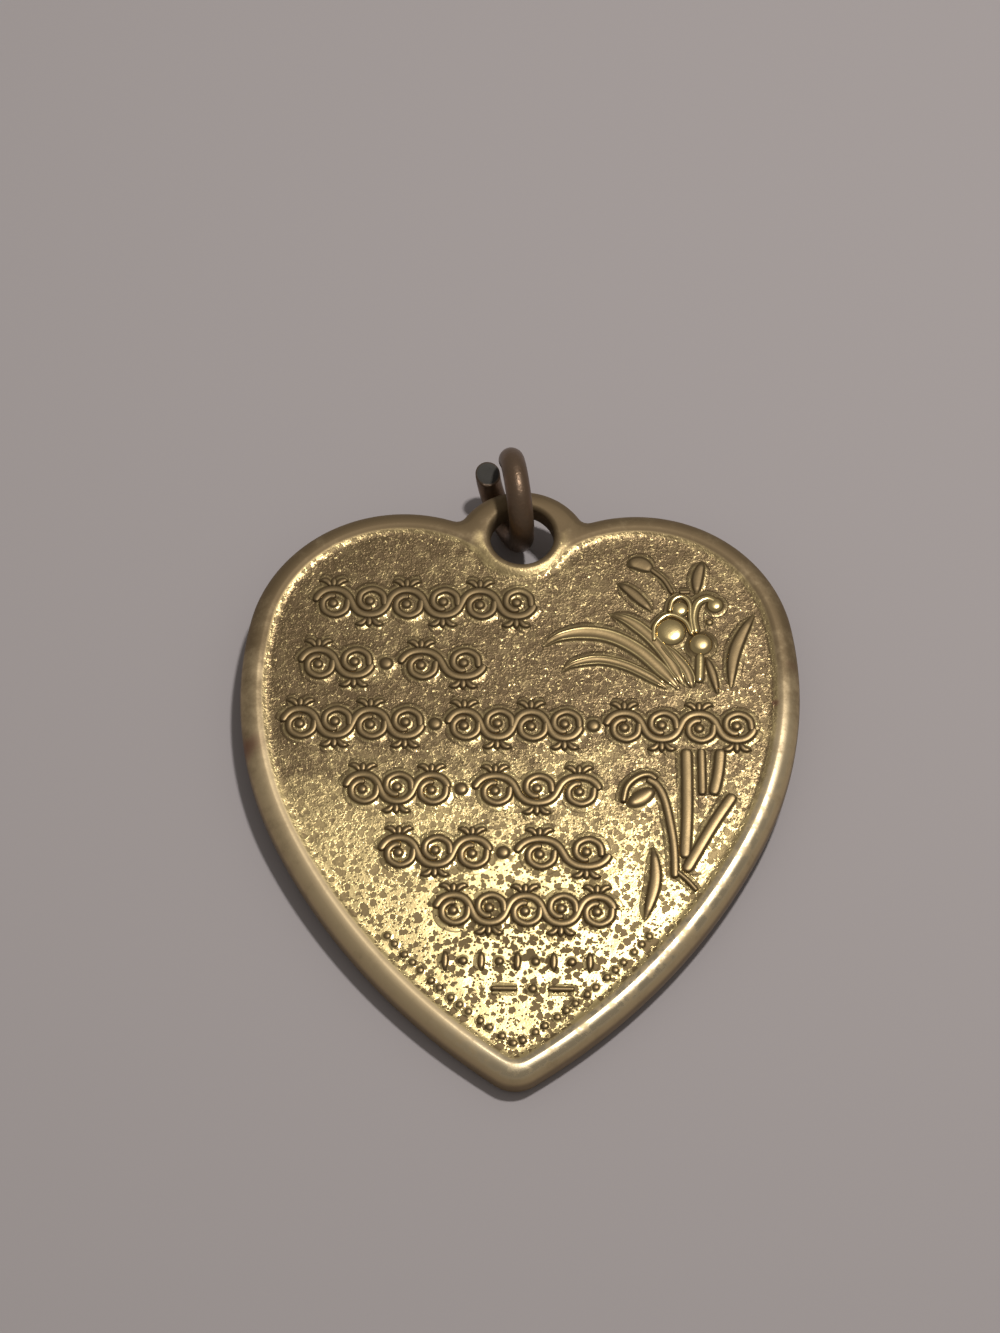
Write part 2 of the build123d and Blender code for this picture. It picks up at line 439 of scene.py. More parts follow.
def field_group():
    """The sunk field: toned in patches, painted darker towards the lug as painted shade, pitted and grained,
    rubbed where it rises.
    """
    outputs = {"Color": "Color", "Metal": "Float", "Rough": "Float", "Height": "Float"}
    tree, given, result = new_group("struck_field", {"Bare": "Float"}, outputs)
    place, above, outer = surveyed(tree)
    # Darker towards the lug: toning, and painted shade.
    climb = climbed(tree, place, low_tone_and_shade_y, high_tone_and_shade_y, low_tone_and_shade, high_tone_and_shade)
    colours = {"Bright": bright_brass, "Toned": toned_brass, "Amount": climb}
    toned = add_node(tree, "ShaderNodeGroup", colours, node_tree=metal_toning)
    toning = toned.outputs["Toning"]
    lowland = ramped(tree, above, pit_top * metre, 2 * pit_top * metre, 1, 0)
    fewer = ramped(tree, climb, low_tone_and_shade, high_tone_and_shade, 1, high_pits)
    pits = multiplied(tree, lowland, reckoned(tree, "SUBTRACT", 1, outer), fewer)
    frost = ramped(tree, climb, low_tone_and_shade, high_tone_and_shade, low_grain, high_grain)
    grain = reckoned(tree, "MULTIPLY_ADD", given.outputs["Bare"], frost, skin_grain)
    grained = add_node(tree, "ShaderNodeGroup", {"Pits": pits, "Grain": grain}, node_tree=pitted_skin)
    pit = grained.outputs["Pit"]
    rubbed = ramped(tree, above, gleam_from * metre, 2 * gleam_from * metre)
    gleam = ramped(tree, toning, fully_toned, half_toned, gleam_on_toned, 1)
    rubbed = multiplied(tree, rubbed, gleam)
    rubbed = reckoned(tree, "MAXIMUM", rubbed, grained.outputs["Speck"])
    colour = blended(tree, rubbed, toned.outputs["Color"], bright_brass)
    colour = blended(tree, multiplied(tree, pit, pit_cover), colour, pit_and_shade_brown)
    metal = ramped(tree, toning, lightly_toned, fully_toned, 1, toned_metal)
    metal = reckoned(tree, "MAXIMUM", rubbed, metal)
    metal = multiplied(tree, metal, ramped(tree, pit, 0, 1, 1, pit_metal))
    satin = away_from(tree, place, satin_middle)
    satin = ramped(tree, satin, satin_inner * metre, satin_outer * metre, satin_rough, field_rough)
    rough = reckoned(tree, "MULTIPLY_ADD", toning, toned_dulling, satin)
    rough = reckoned(tree, "MULTIPLY_ADD", pit, pit_dulling, rough)
    values = {"Color": colour, "Metal": metal, "Rough": rough, "Height": grained.outputs["Height"]}
    give_out(tree, result, values)
    return tree


struck_field = field_group()

# Toning and painted shade: the rim and crowns are painted darker towards the lug, where the lamp's
# reflection on the rim fades.
low_skin_tone_and_shade_y = -4
high_skin_tone_and_shade_y = 15
low_skin_tone_and_shade = 0.13
high_skin_tone_and_shade = 0.7
skin_dulling = 0.12
ball_from = 0.25
ball_to = 0.31
ball_worn = 0.35
# Wear and painted highlight on the rim's lower right, where the lamp shines on it: pale, polished patches.
sheen_wear_way = (0.7, -0.7, 0)
sheen_wear_from = 4.5
sheen_wear_to = 13
sheen_wear_low = -0.14
sheen_wear_high = 0.02
sheen_wear_scale = 1500
patchy_from = 0.39
patchy_to = 0.56
least_sheen_wear = 0.08
most_sheen_wear = 0.8
worn_polish = 0.3


def skin_group():
    """The skin of the rim and the crowns: toned, painted darker towards the lug as painted shade, worn on
    its heights, and worn pale in patches at the lower right, with a painted highlight there.
    """
    inputs = {"Bright": "Color", "Toned": "Color"}
    for label in ("Metal", "Rough", "Worn From", "Worn To", "Worn Share", "Sheen Wear Share"):
        inputs[label] = "Float"
    outputs = {"Color": "Color", "Metal": "Float", "Rough": "Float"}
    tree, given, result = new_group("skin_wear_and_sheen", inputs, outputs)
    place, above, outer = surveyed(tree)
    # Darker towards the lug: toning, and painted shade.
    amount = climbed(tree, place, low_skin_tone_and_shade_y, high_skin_tone_and_shade_y, low_skin_tone_and_shade, high_skin_tone_and_shade)
    colours = {"Bright": given.outputs["Bright"], "Toned": given.outputs["Toned"], "Amount": amount}
    toned = add_node(tree, "ShaderNodeGroup", colours, node_tree=metal_toning)
    worn = ramped(tree, above, given.outputs["Worn From"], given.outputs["Worn To"])
    ball = ramped(tree, above, ball_from * metre, ball_to * metre, 1, ball_worn)
    share = reckoned(tree, "SUBTRACT", given.outputs["Worn Share"], outer)
    worn = multiplied(tree, worn, ball, share)
    patches = noise_at(tree, place, sheen_wear_scale, detail=4, roughness=0.65)
    patchy = ramped(tree, patches, patchy_from, patchy_to, least_sheen_wear, most_sheen_wear)
    # Wear and painted highlight: the lower right of the rim is painted pale in patches.
    sheen_wear = add_node(tree, "ShaderNodeVectorMath", {0: place, 1: sheen_wear_way}, operation="DOT_PRODUCT")
    sheen_wear = ramped(tree, sheen_wear.outputs["Value"], sheen_wear_from * metre, sheen_wear_to * metre)
    raised = ramped(tree, above, sheen_wear_low * metre, sheen_wear_high * metre)
    sheen_wear = multiplied(tree, sheen_wear, raised, patchy, given.outputs["Sheen Wear Share"])
    colour = blended(tree, worn, toned.outputs["Color"], bright_brass)
    colour = blended(tree, sheen_wear, colour, sheen_wear_brass)
    worn = reckoned(tree, "MAXIMUM", worn, sheen_wear)
    metal = ramped(tree, worn, 0, 1, given.outputs["Metal"], 1)
    rough = reckoned(tree, "MULTIPLY_ADD", toned.outputs["Toning"], skin_dulling, given.outputs["Rough"])
    rough = reckoned(tree, "MULTIPLY_ADD", worn, -worn_polish, rough)
    give_out(tree, result, {"Color": colour, "Metal": metal, "Rough": rough})
    return tree


skin_wear_and_sheen = skin_group()

bare_middle = (0, 13.9, 1.6)
bare_from = 1.9
bare_to = 2.9
bare_skin = 0.3
# Heights of the painted shade band on the relief's steep sides, as shares of where the skin begins.
side_shade_low = 0.6
side_shade_full = 1.2
side_shade_end = 1.4
# Painted shade on steep walls: faces that turn sideways, away from up, are painted dark brown.
wall_shade_brown = (0.2, 0.14, 0.08, 1)
wall_shade_cover = 0.8
wall_facing = 0.1
face_facing = 0.5
stain_red = (0.17, 0.07, 0.045, 1)
stain_cover = 0.75
stain_inner = 0.7
stain_outer = 1.4
stains = [((14.0, 7.2, 1.2), 0.7), ((-14.0, 2.2, 1.1), 1.2), ((13.3, 5.0, 1.5), 0.35)]


def stained(tree, place, colour):
    """The colour with the few stains laid over it."""
    frayed = noise_at(tree, place, mottle_scale, detail=3)
    for spot, radius in stains:
        reach = radius * metre
        away = reckoned(tree, "MULTIPLY_ADD", frayed, reach, away_from(tree, place, spot))
        mask = ramped(tree, away, stain_outer * reach, stain_inner * reach, 0, stain_cover)
        colour = blended(tree, mask, colour, stain_red)
    return colour


def new_metal(name):
    """A new material, with its tree and its shader."""
    material = bpy.data.materials.new(name)
    material.use_nodes = True
    shader = material.node_tree.nodes["Principled BSDF"]
    shader.inputs["Specular IOR Level"].default_value = metal_specular
    return material, material.node_tree, shader


def finish_shader(tree, shader, colour, metal, rough, height):
    """Joins a metal's colour, metal, roughness and fine relief to its shader."""
    bump = add_node(tree, "ShaderNodeBump", {"Height": height, "Distance": grain_depth * metre})
    tree.links.new(colour, shader.inputs["Base Color"])
    tree.links.new(metal, shader.inputs["Metallic"])
    tree.links.new(rough, shader.inputs["Roughness"])
    tree.links.new(bump.outputs["Normal"], shader.inputs["Normal"])


def brass_material(name, skin_from, skin_to, side_shade_share, skin_values):
    """Struck brass: the field's finish low down, and the skin's from one height to another.

    Painted shade darkens the relief's steep sides and all steep walls. Below the hole the skin is rubbed
    off.
    """
    material, tree, shader = new_metal(name)
    place, above, outer = surveyed(tree)
    away = away_from(tree, place, bare_middle)
    skin = ramped(tree, above, skin_from * metre, skin_to * metre)
    left = ramped(tree, away, bare_from * metre, bare_to * metre, bare_skin, 1)
    skin = reckoned(tree, "MAXIMUM", multiplied(tree, skin, left), outer)
    bare = reckoned(tree, "SUBTRACT", 1, skin)
    low = add_node(tree, "ShaderNodeGroup", {"Bare": bare}, node_tree=struck_field).outputs
    high = add_node(tree, "ShaderNodeGroup", skin_values, node_tree=skin_wear_and_sheen).outputs
    # Painted shade: a dark band on the relief's steep sides, from above its foot to where the crown begins.
    up = ramped(tree, above, side_shade_low * skin_from * metre, side_shade_full * skin_from * metre)
    down = ramped(tree, above, side_shade_end * skin_from * metre, skin_to * metre, 1, 0)
    side_shade = multiplied(tree, up, down, side_shade_share)
    # Painted shade: steep walls are painted dark brown, by how far their faces turn from up.
    normal = add_node(tree, "ShaderNodeTexCoord", {}).outputs["Normal"]
    facing = add_node(tree, "ShaderNodeSeparateXYZ", {"Vector": normal}).outputs["Z"]
    wall = ramped(tree, facing, wall_facing, face_facing, wall_shade_cover, 0)
    colour = blended(tree, skin, low["Color"], high["Color"])
    colour = blended(tree, side_shade, colour, pit_and_shade_brown)
    colour = blended(tree, wall, colour, wall_shade_brown)
    colour = stained(tree, place, colour)
    metal = mixed(tree, skin, low["Metal"], high["Metal"])
    rough = mixed(tree, skin, low["Rough"], high["Rough"])
    finish_shader(tree, shader, colour, metal, rough, low["Height"])
    return material


field_brass = brass_material("field_brass", skin_from=0.05, skin_to=0.12, side_shade_share=0, skin_values={
    "Bright": rim_brass, "Toned": rim_toned, "Metal": 0.6, "Rough": 0.46, "Sheen Wear Share": 1,
    "Worn From": 0.17 * metre, "Worn To": 0.36 * metre, "Worn Share": 0.4})

# The rim, the sunk field, the lug's hole and the back are one skin with the blank's edge.
# The rim is a bead, rolled up from the edge and falling in a soft slope to the field, which is
# not quite flat, because the sheet has moved under the die. The hole is punched and rubbed.
rim_width = 1.15
slope_reach = 0.4
field_tip_radius = 0.9
collar_width = 0.7
shoulder_angle = 116.5
cusp_overlap = 0.15
slope_shares = [(0.75, 1), (0.57, 0.965), (0.36, 0.87), (0.12, 0.7), (-0.12, 0.51), (-0.36, 0.31),
                (-0.6, 0.15), (-0.82, 0.045), (-1, 0)]
corner_rubs = 3
hole_radius = 1.7
hole_drop = 1.5
hole_y = lobe_top - hole_drop
hole_round = 0.3
hole_round_steps = 4
hole_points = 72
lug_step = 0.25
lug_step_radius = 3.1
lug_step_rise = 0.5
lug_step_slope = 0.25
face_spacing = 0.17
back_spacing = 0.4
field_swell = 0.018
broad_swells = 0.45
small_swells = 1.6
small_swell_share = 0.45


def edge_height(inward):
    """The face's height at a distance inside the blank's edge."""
    share = max(0, 1 - inward / edge_reach)
    return thickness - edge_drop * (1 - sqrt(1 - share**2))


def field_outline():
    """The field's outline: inside the rim, up to the collar round the hole."""
    lobe_inner = lobe_radius - rim_width
    side_inner = side_radius - rim_width
    flank_inner = flank_radius - rim_width
    tip_drop = sqrt((flank_inner - field_tip_radius) ** 2 - flank_centre[0] ** 2)
    tip_middle = (0, flank_centre[1] - tip_drop)
    lobe_end = bearing(side_centre, lobe_centre)
    flank_end = bearing(flank_centre, tip_middle)
    collar = hole_radius + collar_width
    cusp = Vector((0, hole_y - collar + cusp_overlap))
    shoulder = on_circle(lobe_centre, lobe_inner, shoulder_angle)
    count = ceil((shoulder - cusp).length / edge_spacing)
    line = [cusp.lerp(shoulder, number / count) for number in range(count)]
    hole_centre = Vector((0, hole_y))
    line = [place for place in line if (place - hole_centre).length > collar]
    collar_end = bearing(hole_centre, line[0])
    half = arc_places(hole_centre, collar, -90, collar_end)
    half += line
    half += arc_places(lobe_centre, lobe_inner, shoulder_angle, lobe_end)
    half += arc_places(side_centre, side_inner, lobe_end, -side_turn)
    half += arc_places(flank_centre, flank_inner, -side_turn, flank_end)
    half += arc_places(tip_middle, field_tip_radius, flank_end, -90)
    half.append(Vector((0, tip_middle[1] - field_tip_radius)))
    return with_outward(eased(both_halves(half), corner_rubs))


def hole_outline():
    """The hole's circle, clockwise, with its way out into the metal."""
    angles = [90 - 360 * number / hole_points for number in range(hole_points)]
    return with_outward([on_circle((0, hole_y), hole_radius, angle) for angle in angles])


def rubbed_edge(radius, steps):
    """A quarter round from wall to face: how far in from the wall, how far short of the face."""
    angles = [pi / 2 * number / steps for number in range(steps + 1)]
    return [(radius * (1 - cos(angle)), radius * (1 - sin(angle))) for angle in angles]


def field_rise(place):
    """The sheet's slight unevenness under the die."""
    broad = noise.noise(Vector((place.x, place.y, 0)) * broad_swells)
    small = noise.noise(Vector((place.x, place.y, 5)) * small_swells)
    return field_swell * (broad + small_swell_share * small)


def back_height(place):
    """The back is flat, but for a shallow step under the lug."""
    inside = lug_step_radius - hypot(place.x, place.y - hole_y - lug_step_rise)
    return lug_step * min(1, max(0, inside / lug_step_slope))


def struck_heart():
    """The whole skin of the charm, without its relief."""
    bm = bmesh.new()
    bm.verts.layers.float_vector.new("way_out")
    outer_skin = bm.verts.layers.float.new("outer_skin")
    outline = blank_outline()
    hole = hole_outline()
    face_edge = lay_loop(bm, outline, edge_depth, edge_height(edge_depth))
    to_back = [(depth, edge_height(depth)) for depth in edge_steps] + rubbed_edge(back_round, round_steps)
    back_edge = roll_loop(bm, face_edge, edge_depth, to_back)
    hole_face = lay_loop(bm, hole, -hole_round, thickness)
    hole_edge = rubbed_edge(hole_round, hole_round_steps)
    through = [(-inward, thickness - short) for inward, short in reversed(hole_edge[:-1])]
    through += [(-inward, lug_step + short) for inward, short in hole_edge]
    hole_back = roll_loop(bm, hole_face, -hole_round, through)
    for point in bm.verts:
        point[outer_skin] = 1
    slope = [(-share * slope_reach, field_level + rise * field_depth) for share, rise in slope_shares]
    field_top = lay_loop(bm, field_outline(), *slope[0])
    field_edge = roll_loop(bm, field_top, slope[0][0], slope[1:])
    tree = kdtree.KDTree(len(outline))
    for number, (place, outward) in enumerate(outline):
        tree.insert((*place, 0), number)
    tree.balance()
    for point in fill_between(bm, [face_edge, field_top, hole_face], face_spacing):
        distance = tree.find((point.co.x, point.co.y, 0))[2]
        point.co.z = edge_height(distance)
    for point in fill_between(bm, [field_edge], face_spacing):
        point.co.z = field_level + field_rise(point.co)
    for point in fill_between(bm, [back_edge, hole_back], back_spacing):
        point.co.z = back_height(point.co)
        point[outer_skin] = 1
    for point in bm.verts:
        if point.co.z < lug_step:
            point.co.z = max(point.co.z, back_height(point.co))
    return finish_piece(bm, "struck_heart", field_brass, "charm")


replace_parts(struck_heart(), "heart_medal")

# The relief is the same brass, pressed up into the die's cuts: flat crowns on steep sides, with
# a hollow fillet at the foot that shines in the light. Its sections are given from their edge
# to their middle, as shares of half the width and of the height.
relief_height = 0.15
foot_sink = 0.02
line_spacing = 0.13
line_width = 0.42
fillet_width = 0.34
crown_shares = [(1, 0.43), (0.93, 0.66), (0.82, 0.86), (0.6, 0.97), (0, 1)]
fillet_shares = [(1, 0), (0.9, 0.105), (0.65, 0.18), (0.4, 0.255), (0.2, 0.325)]
bead_shares = [(1, 0.43), (0.96, 0.6), (0.84, 0.78), (0.6, 0.92), (0.32, 0.98), (0, 1)]
bead_sides = 20
end_shares = [0, 0.05, 0.22, 0.5]
round_end = 0.6
leaf_fullness = 0.7
fillet_start = 1.5
crown_start = 1.6
crown_brass = (0.19, 0.131, 0.062, 1)
crown_toned = (0.155, 0.107, 0.052, 1)
relief_brass = brass_material("relief_brass", skin_from=0.045, skin_to=0.1, side_shade_share=0.65, skin_values={
    "Bright": crown_brass, "Toned": crown_toned, "Metal": 0.8, "Rough": 0.34, "Sheen Wear Share": 0,
    "Worn From": 0.17 * metre, "Worn To": 0.36 * metre, "Worn Share": 0.4})


def smooth_line(knots):
    """Places along a smooth line through its knots, closer together at both ends."""
    before = [2 * knots[0] - knots[1]] + knots
    after = knots + [2 * knots[-1] - knots[-2]]
    places = []
    for start, end, earlier, later in zip(knots, knots[1:], before, after[2:]):
        count = max(1, ceil((end - start).length / line_spacing))
        way_on = start + (end - earlier) / 6
        way_in = end - (later - start) / 6
        flat = [(*place, 0) for place in (start, way_on, way_in, end)]
        places += [place.xy for place in geometry.interpolate_bezier(*flat, count + 1)[:-1]]
    places.append(knots[-1])
    first = [places[0].lerp(places[1], share) for share in end_shares]
    last = [places[-1].lerp(places[-2], share) for share in reversed(end_shares)]
    return first + places[1:-1] + last


def round_ended(walked, length, width):
    """How full a line is after a walk along it: full but for a round end each way."""
    near = min(walked, length - walked) / (round_end * width)
    return sqrt(1 - (1 - min(1, near)) ** 2)


def leaf_shaped(walked, length, width):
    """How full a leaf is after a walk along it: pointed at both ends."""
    return sin(pi * min(1, max(0, walked / length))) ** leaf_fullness


def strike(bm, knots, width=line_width, height=relief_height, crown=crown_shares, fullness=round_ended):
    """Raises a line from the field: one section laid at each place along it."""
    line = smooth_line([Vector(knot) for knot in knots])
    walks = [0]
    for start, end in zip(line, line[1:]):
        walks.append(walks[-1] + (end - start).length)
    half = [(-1, -share, rise) for share, rise in fillet_shares]
    half += [(-across, 0, rise) for across, rise in crown]
    section = half + [(-across, -fillet, rise) for across, fillet, rise in reversed(half[:-1])]
    sides = len(section)
    grid = bmesh.ops.create_grid(bm, x_segments=sides, y_segments=len(line) - 1, size=1)["verts"]
    for point in grid:
        across, fillet, rise = section[round((point.co.x + 1) / 2 * sides) % sides]
        number = round((point.co.y + 1) / 2 * (len(line) - 1))
        along = (line[min(number + 1, len(line) - 1)] - line[max(number - 1, 0)]).normalized()
        full = fullness(walks[number], walks[-1], width)
        spread = fillet * min(fillet_width, width) * min(1, fillet_start * full)
        reach = across * full * width / 2 + spread
        place = line[number] + Vector((-along.y, along.x)) * reach
        tall = (height + foot_sink) * min(1, crown_start * full)
        point.co = (*place, field_level - foot_sink + rise * tall)


def boss(bm, place, radius, height=relief_height):
    """Raises a round bead from the field: its outline spun about its middle."""
    fillet = min(fillet_width, radius)
    outline = [(0, 0)] + [(radius + share * fillet, rise) for share, rise in fillet_shares]
    outline += [(share * radius, rise) for share, rise in bead_shares]
    middle = Vector((*place, field_level - foot_sink))
    tall = height + foot_sink
    points = [bm.verts.new(middle + Vector((reach, 0, rise * tall))) for reach, rise in outline]
    edges = [bm.edges.new(pair) for pair in zip(points, points[1:])]
    bmesh.ops.spin(bm, geom=points + edges, cent=middle, axis=(0, 0, 1), angle=2 * pi, steps=bead_sides,
                   use_merge=True)


def leaf(bm, foot, bow, point, width, height=relief_height):
    """Raises a leaf from its foot, through its middle, to its point."""
    strike(bm, [foot, bow, point], width, height, fullness=leaf_shaped)


# Six rows of running scroll fill the face: a waved stem, a curl round a berry in each of
# its hollows, and three small leaves on each crest. They are the charm's own brass, struck
# with it, and so is all the relief below.
scroll_runs = [
    (10.67, [(-10.86, 0.73)]),
    (7.04, [(-11.51, -7.7), (-6.3, -1.85)]),
    (3.53, [(-12.3, -5.0), (-3.75, 3.2), (4.45, 12.2)]),
    (-0.20, [(-8.92, -3.6), (-2.3, 4.18)]),
    (-3.77, [(-7.02, -1.4), (-0.1, 4.69)]),
    (-6.95, [(-4.15, 4.95)]),
]
half_wave = 1.95
wave_swing = 0.76
wave_fullness = 0.5
wave_knots = 6
curl_drop = 0.08
curl_turns = [(20, 0.84), (-30, 0.78), (-80, 0.72), (-135, 0.63), (-190, 0.54), (-245, 0.47), (-290, 0.43)]
curl_width = 0.36
curl_berry = 0.25
middle_leaf = ([(0, 0.08), (0, 0.42), (0, 0.74)], 0.34)
side_leaf = ([(0.1, 0.12), (0.4, 0.5), (0.8, 0.52)], 0.32)
crest_leaves = [(-1, side_leaf), (0, middle_leaf), (1, side_leaf)]
spacer_berry = 0.34


def curl(bm, middle, way):
    """A spiral that leaves the stem and winds in round a berry."""
    knots = [(middle[0] + reach * cos(radians(turn)), middle[1] + way * reach * sin(radians(turn)))
             for turn, reach in curl_turns]
    strike(bm, knots, curl_width)
    boss(bm, middle, curl_berry)


def crest_palmette(bm, middle, crest, way):
    """Three small leaves that spread from a crest."""
    for side, (knots, width) in crest_leaves:
        placed = [(middle + side * across, crest + way * rise) for across, rise in knots]
        leaf(bm, *placed, width)


def scroll(bm, left, right, level):
    """One run of the waved stem with its curls and leaves."""
    halves = max(2, round((right - left) / half_wave))
    step = (right - left) / halves
    stem = []
    for number in range(halves * wave_knots + 1):
        waves = number / wave_knots
        across = left + step * (waves - wave_fullness * sin(2 * pi * waves) / (2 * pi))
        stem.append((across, level + wave_swing * sin(pi * waves)))
    strike(bm, stem)
    for number in range(halves):
        way = 1 if number % 2 == 0 else -1
        middle = left + (number + 0.5) * step
        curl(bm, (middle, level - way * curl_drop), way)
        crest_palmette(bm, middle, level + way * wave_swing, way)


for number, (level, runs) in enumerate(scroll_runs, 1):
    bm = bmesh.new()
    for left, right in runs:
        scroll(bm, left, right, level)
    for (left, gap_start), (gap_end, right) in zip(runs, runs[1:]):
        boss(bm, ((gap_start + gap_end) / 2, level), spacer_berry)
    finish_piece(bm, f"scroll_row_{number}", relief_brass, "charm")

# Below the scrolls stand a row of beads and darts, two bars with a bead between them, and a
# string of small low beads that follows the rim down to the tip, all struck in the brass.
dart_row = (-3.59, 3.69, -9.80)
dart_pitch = 0.92
dart_length = 1.15
dart_width = 0.34
small_bead = 0.22
bar_row = (0.83, -11.28)
bar_gap = 0.75
bar_length = 1.35
bar_width = 0.26
small_height = 0.14
pearl_radius = 0.19
pearl_height = 0.1
pearl_pitch = 0.66
pearl_inside = 0.85
pearl_top = -8.2


def small_ornament():
    """Darts and beads, bars, and the string of low beads."""
    bm = bmesh.new()
    left, right, level = dart_row
    count = round((right - left) / dart_pitch)
    for number in range(count + 1):
        across = left + (right - left) * number / count
        if number % 2 == 0:
            leaf(bm, (across, level - dart_length / 2), (across, level), (across, level + dart_length / 2),
                 dart_width, small_height)
        else:
            boss(bm, (across, level), small_bead, small_height)
    middle, level = bar_row
    for side in (-1, 1):
        inner = middle + side * bar_gap
        outer = inner + side * bar_length
        strike(bm, [(inner, level), ((inner + outer) / 2, level), (outer, level)], bar_width, small_height)
    boss(bm, (middle, level), small_bead, small_height)
    walked = pearl_pitch
    stations = [(place - outward * pearl_inside) for place, outward in field_outline()]
    for start, end in zip(stations, stations[1:]):
        if end.y < pearl_top:
            walked += (end - start).length
            if walked >= pearl_pitch:
                boss(bm, end, pearl_radius, pearl_height)
                walked -= pearl_pitch
    finish_piece(bm, "small_ornament", relief_brass, "charm")


small_ornament()

# The lily stands at the right of the face, struck with the rest: grooved blades that arch to
# the left, a flower of rounded petals over a ball, plain leaves, and stems with a drooping
# flower. The blades and the flower are rubbed brighter than the leaves and stems.
blade_shares = [(1, 0.5), (0.9, 0.9), (0.74, 1), (0.58, 0.92), (0.42, 0.8), (0, 0.76)]
petal_shares = [(1, 0.3), (0.9, 0.52), (0.7, 0.76), (0.4, 0.94), (0, 1)]
petal_line = 0.26
blade_root = 3.5
blade_tip = 6
blade_fullness = 0.6
lily_bright = (0.3, 0.21, 0.1, 1)
lily_toned = (0.2, 0.14, 0.066, 1)
lily_brass = brass_material("lily_brass", skin_from=0.045, skin_to=0.1, side_shade_share=0.6, skin_values={
    "Bright": lily_bright, "Toned": lily_toned, "Metal": 0.85, "Rough": 0.3, "Sheen Wear Share": 0,
    "Worn From": 0.118 * metre, "Worn To": 0.15 * metre, "Worn Share": 0.65})


def blade_shaped(walked, length, width):
    """How full a blade is after a walk along it: a slow taper to both ends."""
    share = min(1, max(0, walked / length))
    return min(1, (blade_root * share) ** blade_fullness, (blade_tip * (1 - share)) ** blade_fullness)


def leaf_blades(bm):
    """The arching grooved blades."""
    arching = [
        ([(1.07, 8.1), (2.06, 8.72), (3.37, 8.98), (4.79, 8.76), (6.15, 8.0), (7.3, 6.9), (8.33, 5.7)], 0.8),
        ([(2.08, 6.64), (2.86, 7.13), (4.11, 7.38), (5.42, 7.1), (6.67, 6.47), (7.71, 5.75)], 0.56),
        ([(4.58, 10.19), (5.73, 9.67), (6.78, 8.79), (7.72, 7.55), (8.54, 6.0)], 0.72),
        ([(7.2, 8.5), (8.1, 7.6), (8.72, 6.75), (9.0, 5.8)], 0.6),
    ]
    for knots, width in arching:
        strike(bm, knots, width, crown=blade_shares, fullness=blade_shaped)


def plain_leaves(bm):
    """The plain leaves round the flower, and a seed head on its stalk."""
    plain = [
        ([(12.31, 10.36), (11.55, 8.91), (11.12, 7.6), (10.95, 5.7)], 0.66),
        ([(9.62, 7.8), (10.01, 6.7), (10.3, 5.4)], 0.42),
        ([(5.0, 12.06), (5.84, 11.41), (6.95, 10.28)], 0.56),
        ([(9.61, 13.46), (9.3, 12.4), (9.22, 11.3)], 0.6),
        ([(5.5, 13.1), (6.22, 13.2), (7.0, 12.75)], 0.85),
    ]
    for knots, width in plain:
        strike(bm, knots, width, fullness=leaf_shaped)
    strike(bm, [(6.8, 12.88), (7.5, 12.25), (7.98, 11.4)], petal_line, height=0.13)
    strike(bm, [(8.3, 11.5), (8.92, 11.52)], petal_line, height=0.12)


def flower(bm):
    """The open flower: a wide left petal, an upper one, a hooked right one, and the ball."""
    left_line = [(6.98, 8.5), (7.05, 9.45), (7.75, 10.1), (8.6, 9.75), (9.0, 8.9)]
    upper_line = [(7.8, 10.25), (7.98, 10.95), (8.45, 11.2), (8.85, 10.8), (8.9, 9.9), (9.02, 9.0)]
    hook = [(9.2, 9.0), (9.06, 9.95), (9.27, 10.8), (9.8, 11.12), (10.3, 10.85)]
    strike(bm, left_line, petal_line, height=0.21)
    boss(bm, (7.85, 9.1), radius=0.78, height=0.25)
    strike(bm, upper_line, petal_line, height=0.21)
    boss(bm, (8.34, 10.45), radius=0.46, height=0.22)
    strike(bm, hook, width=0.5, height=0.22, crown=petal_shares)
    boss(bm, (10.2, 10.72), radius=0.42, height=0.24)
    boss(bm, (9.89, 9.72), radius=0.2, height=0.12)
    strike(bm, [(9.39, 7.9), (9.36, 6.8), (9.32, 6.1)], width=0.56, height=0.16, crown=petal_shares)
    boss(bm, (9.42, 8.38), radius=0.6, height=0.33)


def stems_and_bud(bm):
    """The flat stems below the flower, the drooping flower under its hood, and a low leaf."""
    stems = [
        ([(8.62, 2.3), (8.64, 0.6), (8.62, -1.6), (8.5, -4.0)], 0.6),
        ([(9.39, 2.3), (9.41, 0.9), (9.42, -0.4)], 0.42),
        ([(10.4, 2.3), (10.25, 0.87), (9.98, -0.4)], 0.58),
        ([(11.05, -0.3), (9.91, -2.15), (8.5, -4.75)], 0.6),
        ([(6.55, 0.5), (7.05, 0.2), (7.46, -0.6), (7.76, -2.01), (7.95, -3.42), (7.99, -5.1)], 0.42),
        ([(8.05, -4.7), (8.6, -5.2), (9.1, -5.8)], 0.26),
    ]
    for knots, width in stems:
        strike(bm, knots, width)
    hood = [(5.35, -0.9), (5.56, 0.02), (6.08, 0.55), (6.65, 0.72), (7.1, 0.42)]
    drooping = [(7.05, 0.0), (6.38, -0.5), (5.5, -1.1)]
    low_leaf = [(6.83, -3.2), (7.0, -4.5), (6.92, -5.7), (6.4, -7.6)]
    strike(bm, hood, width=0.34, height=0.21)
    strike(bm, drooping, width=0.95, height=0.16, crown=petal_shares, fullness=leaf_shaped)
    strike(bm, low_leaf, width=0.62, fullness=leaf_shaped)


bm = bmesh.new()
leaf_blades(bm)
flower(bm)
finish_piece(bm, "lily_spray", lily_brass, "charm")
bm = bmesh.new()
plain_leaves(bm)
stems_and_bud(bm)
finish_piece(bm, "lily_stems", relief_brass, "charm")

